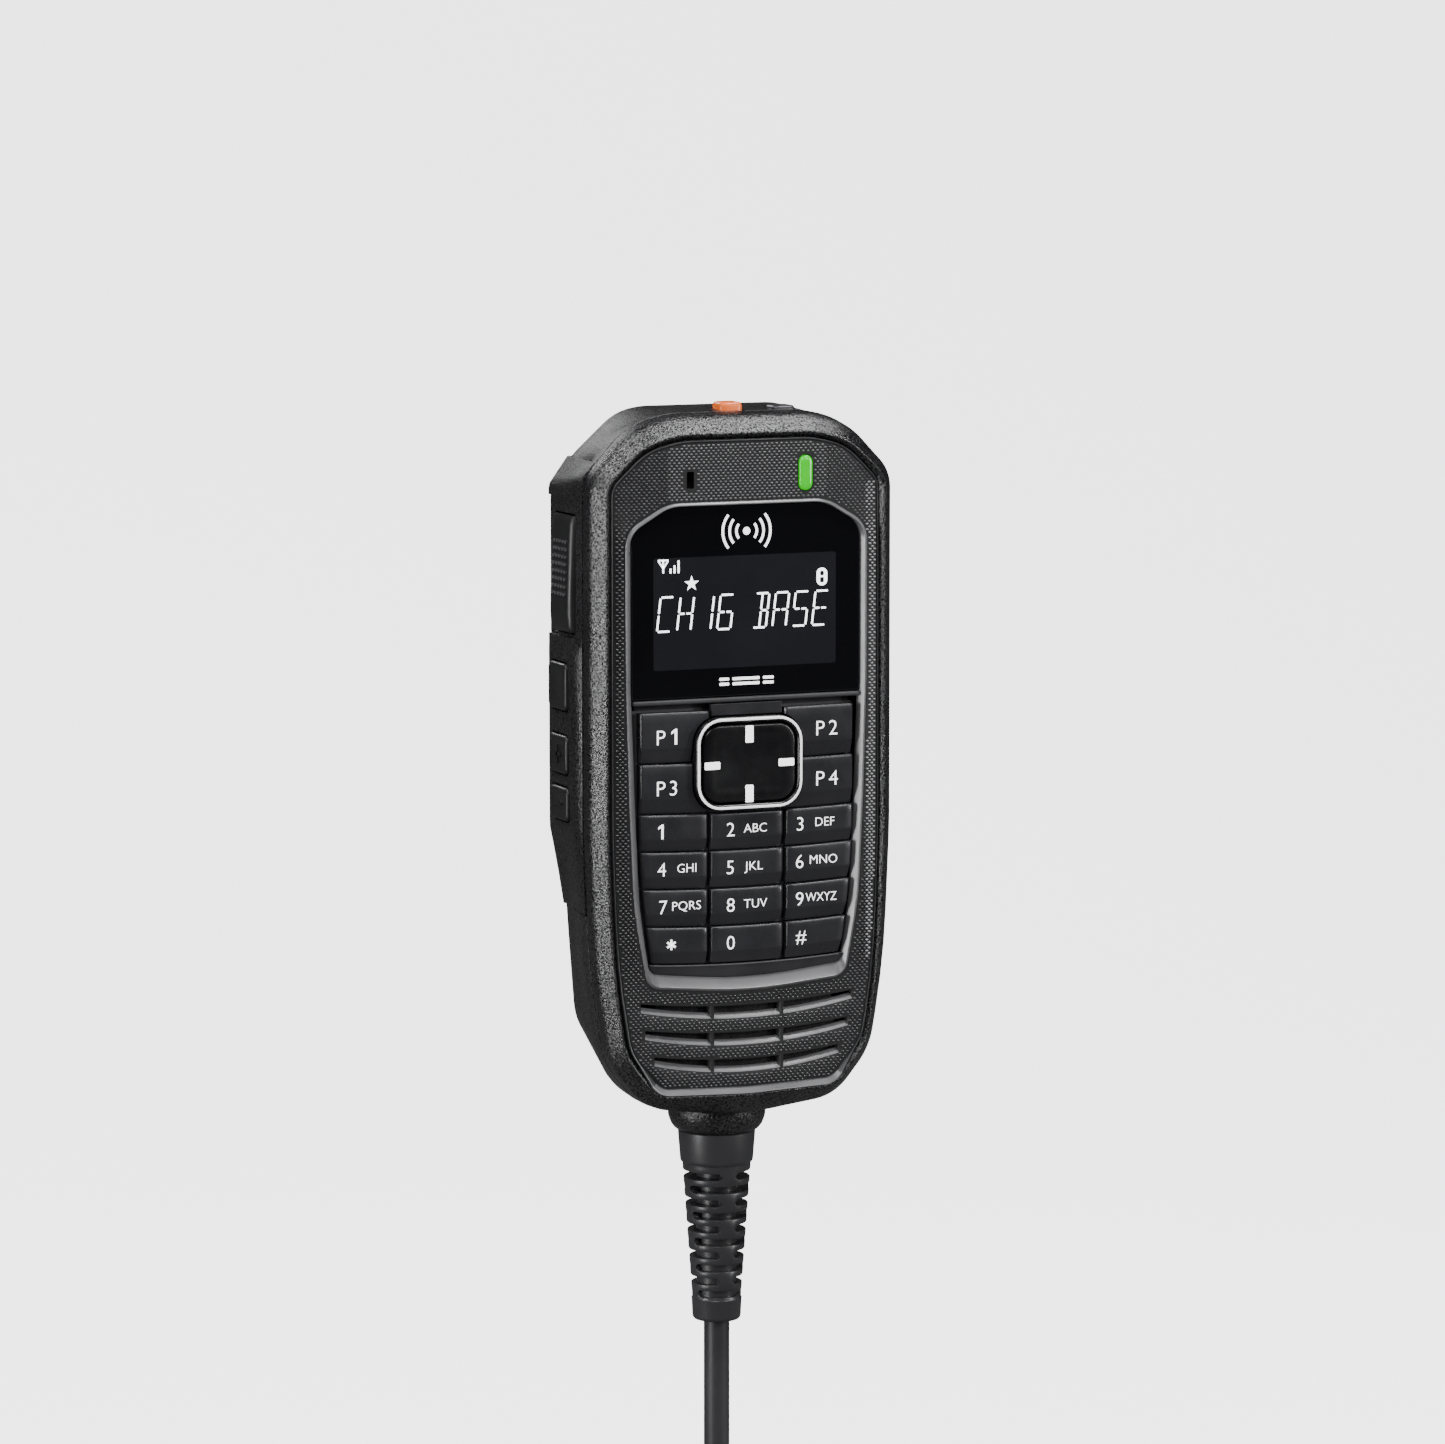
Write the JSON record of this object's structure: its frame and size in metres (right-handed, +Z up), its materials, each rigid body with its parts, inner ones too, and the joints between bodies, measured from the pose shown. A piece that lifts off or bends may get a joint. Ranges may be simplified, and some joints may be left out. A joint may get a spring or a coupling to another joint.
{
  "type": "hand microphone",
  "caption": "Hand-held radio microphone with a display window, direction pad, number keys, side talk key, slotted strain relief, cord with modular plug and a hanger stud on its back",
  "frame": {"origin": "middle of the head of the hanger stud on the back, from which the microphone hangs", "axes": "+Z up along the case, the keypad faces -Y, and the stud points along +Y"},
  "size_m": [0.0694, 0.036, 0.3217],
  "materials": {
    "case_texture": "spark-textured charcoal plastic",
    "panel_lattice": "charcoal plastic with a fine raised lattice",
    "seal_rubber": "soft black rubber",
    "side_rubber": "fine-textured black rubber",
    "steel": "zinc plated",
    "brass": "turned brass",
    "window_gloss": "clear window over gloss black",
    "lcd_glass": "dark display glass",
    "white_plastic": "moulded white plastic",
    "trim_grey": "satin grey plastic",
    "silicone": "grey silicone",
    "board_green": "green solder resist",
    "nav_white": "translucent white plastic",
    "grey_plastic": "moulded grey plastic",
    "key_satin": "satin black plastic",
    "lens_green": "lit green lens",
    "aluminium_can": "drawn aluminium",
    "speaker_frame": "plated frame",
    "speaker_film": "dark film",
    "mesh_cloth": "black dust cloth",
    "side_key_rubber": "smooth black rubber",
    "orange_key": "satin orange plastic",
    "stud_metal": "turned and plated",
    "relief_black": "satin black elastomer",
    "cord_black": "smooth black jacket",
    "tie_fabric": "woven hook-and-loop strap",
    "plug_clear": "clear moulded plastic"
  },
  "bodies": {
    "case": {"front_case": "case_texture", "front_panel": "panel_lattice", "rear_case": "case_texture", "case_seal": "seal_rubber", "side_cover": "side_rubber", "case_screws": "steel", "case_inserts": "brass", "display_window": "window_gloss", "lcd_module": "lcd_glass", "lcd_holder": "white_plastic", "keypad_bezel": "trim_grey", "keypad_membrane": "silicone", "key_domes": "steel", "main_board": "board_green", "nav_ring": "nav_white", "status_lens": "lens_green", "microphone_capsule": "aluminium_can", "microphone_boot": "seal_rubber", "speaker": "speaker_frame", "speaker_cone": "speaker_film", "speaker_mesh": "mesh_cloth", "side_board": "board_green", "tact_switches": "grey_plastic", "hanger_stud": "stud_metal", "stud_screw": "steel", "strain_relief": "relief_black", "cord_clamp": "steel", "cord": "cord_black", "cord_coil": "cord_black", "cord_tail": "cord_black", "cord_tie": "tie_fabric", "plug_body": "plug_clear", "plug_contacts": "brass", "plug_boot": "relief_black"},
    "key_1": {"key_1": "key_satin"},
    "key_2": {"key_2": "key_satin"},
    "key_3": {"key_3": "key_satin"},
    "key_4": {"key_4": "key_satin"},
    "key_5": {"key_5": "key_satin"},
    "key_6": {"key_6": "key_satin"},
    "key_7": {"key_7": "key_satin"},
    "key_8": {"key_8": "key_satin"},
    "key_9": {"key_9": "key_satin"},
    "key_star": {"key_star": "key_satin"},
    "key_0": {"key_0": "key_satin"},
    "key_hash": {"key_hash": "key_satin"},
    "key_p1": {"key_p1": "key_satin"},
    "key_p2": {"key_p2": "key_satin"},
    "key_p3": {"key_p3": "key_satin"},
    "key_p4": {"key_p4": "key_satin"},
    "nav_rocker": {"nav_rocker": "grey_plastic"},
    "nav_pad": {"nav_pad": "key_satin"},
    "talk_button": {"talk_button": "side_key_rubber"},
    "side_key": {"side_key": "side_key_rubber"},
    "volume_up_key": {"volume_up_key": "side_key_rubber"},
    "volume_down_key": {"volume_down_key": "side_key_rubber"},
    "emergency_key": {"emergency_key": "orange_key"},
    "top_key": {"top_key": "key_satin"},
    "plug_latch": {"plug_latch": "plug_clear"}
  },
  "joints": [
    {"name": "key_1_press", "type": "slide", "parent": "case", "child": "key_1", "axis": [0, 1, 0], "range_m": [0, 0.0005], "stiffness_N_per_m": 900, "springref_m": -0.0005},
    {"name": "key_2_press", "type": "slide", "parent": "case", "child": "key_2", "axis": [0, 1, 0], "range_m": [0, 0.0005], "stiffness_N_per_m": 900, "springref_m": -0.0005},
    {"name": "key_3_press", "type": "slide", "parent": "case", "child": "key_3", "axis": [0, 1, 0], "range_m": [0, 0.0005], "stiffness_N_per_m": 900, "springref_m": -0.0005},
    {"name": "key_4_press", "type": "slide", "parent": "case", "child": "key_4", "axis": [0, 1, 0], "range_m": [0, 0.0005], "stiffness_N_per_m": 900, "springref_m": -0.0005},
    {"name": "key_5_press", "type": "slide", "parent": "case", "child": "key_5", "axis": [0, 1, 0], "range_m": [0, 0.0005], "stiffness_N_per_m": 900, "springref_m": -0.0005},
    {"name": "key_6_press", "type": "slide", "parent": "case", "child": "key_6", "axis": [0, 1, 0], "range_m": [0, 0.0005], "stiffness_N_per_m": 900, "springref_m": -0.0005},
    {"name": "key_7_press", "type": "slide", "parent": "case", "child": "key_7", "axis": [0, 1, 0], "range_m": [0, 0.0005], "stiffness_N_per_m": 900, "springref_m": -0.0005},
    {"name": "key_8_press", "type": "slide", "parent": "case", "child": "key_8", "axis": [0, 1, 0], "range_m": [0, 0.0005], "stiffness_N_per_m": 900, "springref_m": -0.0005},
    {"name": "key_9_press", "type": "slide", "parent": "case", "child": "key_9", "axis": [0, 1, 0], "range_m": [0, 0.0005], "stiffness_N_per_m": 900, "springref_m": -0.0005},
    {"name": "key_star_press", "type": "slide", "parent": "case", "child": "key_star", "axis": [0, 1, 0], "range_m": [0, 0.0005], "stiffness_N_per_m": 900, "springref_m": -0.0005},
    {"name": "key_0_press", "type": "slide", "parent": "case", "child": "key_0", "axis": [0, 1, 0], "range_m": [0, 0.0005], "stiffness_N_per_m": 900, "springref_m": -0.0005},
    {"name": "key_hash_press", "type": "slide", "parent": "case", "child": "key_hash", "axis": [0, 1, 0], "range_m": [0, 0.0005], "stiffness_N_per_m": 900, "springref_m": -0.0005},
    {"name": "key_p1_press", "type": "slide", "parent": "case", "child": "key_p1", "axis": [0, 1, 0], "range_m": [0, 0.0005], "stiffness_N_per_m": 900, "springref_m": -0.0005},
    {"name": "key_p2_press", "type": "slide", "parent": "case", "child": "key_p2", "axis": [0, 1, 0], "range_m": [0, 0.0005], "stiffness_N_per_m": 900, "springref_m": -0.0005},
    {"name": "key_p3_press", "type": "slide", "parent": "case", "child": "key_p3", "axis": [0, 1, 0], "range_m": [0, 0.0005], "stiffness_N_per_m": 900, "springref_m": -0.0005},
    {"name": "key_p4_press", "type": "slide", "parent": "case", "child": "key_p4", "axis": [0, 1, 0], "range_m": [0, 0.0005], "stiffness_N_per_m": 900, "springref_m": -0.0005},
    {"name": "nav_up_down", "type": "hinge", "parent": "case", "child": "nav_rocker", "pos_m": [0, -0.0314, -0.0189], "axis": [1, 0, 0], "range_deg": [-3, 3], "stiffness_Nm_per_rad": 0.12},
    {"name": "nav_left_right", "type": "hinge", "parent": "nav_rocker", "child": "nav_pad", "pos_m": [0, -0.0314, -0.0189], "axis": [0, 0, 1], "range_deg": [-3, 3], "stiffness_Nm_per_rad": 0.12},
    {"name": "talk_press", "type": "slide", "parent": "case", "child": "talk_button", "axis": [1, 0, 0], "range_m": [0, 0.001], "stiffness_N_per_m": 1200, "springref_m": -0.0008},
    {"name": "side_key_press", "type": "slide", "parent": "case", "child": "side_key", "axis": [1, 0, 0], "range_m": [0, 0.0007], "stiffness_N_per_m": 1200, "springref_m": -0.0006},
    {"name": "volume_up_key_press", "type": "slide", "parent": "case", "child": "volume_up_key", "axis": [1, 0, 0], "range_m": [0, 0.0007], "stiffness_N_per_m": 1200, "springref_m": -0.0006},
    {"name": "volume_down_key_press", "type": "slide", "parent": "case", "child": "volume_down_key", "axis": [1, 0, 0], "range_m": [0, 0.0007], "stiffness_N_per_m": 1200, "springref_m": -0.0006},
    {"name": "emergency_key_press", "type": "slide", "parent": "case", "child": "emergency_key", "axis": [0, 0, -1], "range_m": [0, 0.0008], "stiffness_N_per_m": 1200, "springref_m": -0.0006},
    {"name": "top_key_press", "type": "slide", "parent": "case", "child": "top_key", "axis": [0, 0, -1], "range_m": [0, 0.0008], "stiffness_N_per_m": 1200, "springref_m": -0.0006},
    {"name": "latch_flex", "type": "hinge", "parent": "case", "child": "plug_latch", "pos_m": [0.0305, -0.0077, -0.2715], "axis": [-1, 0, 0], "range_deg": [0, 6], "stiffness_Nm_per_rad": 0.08}
  ]
}
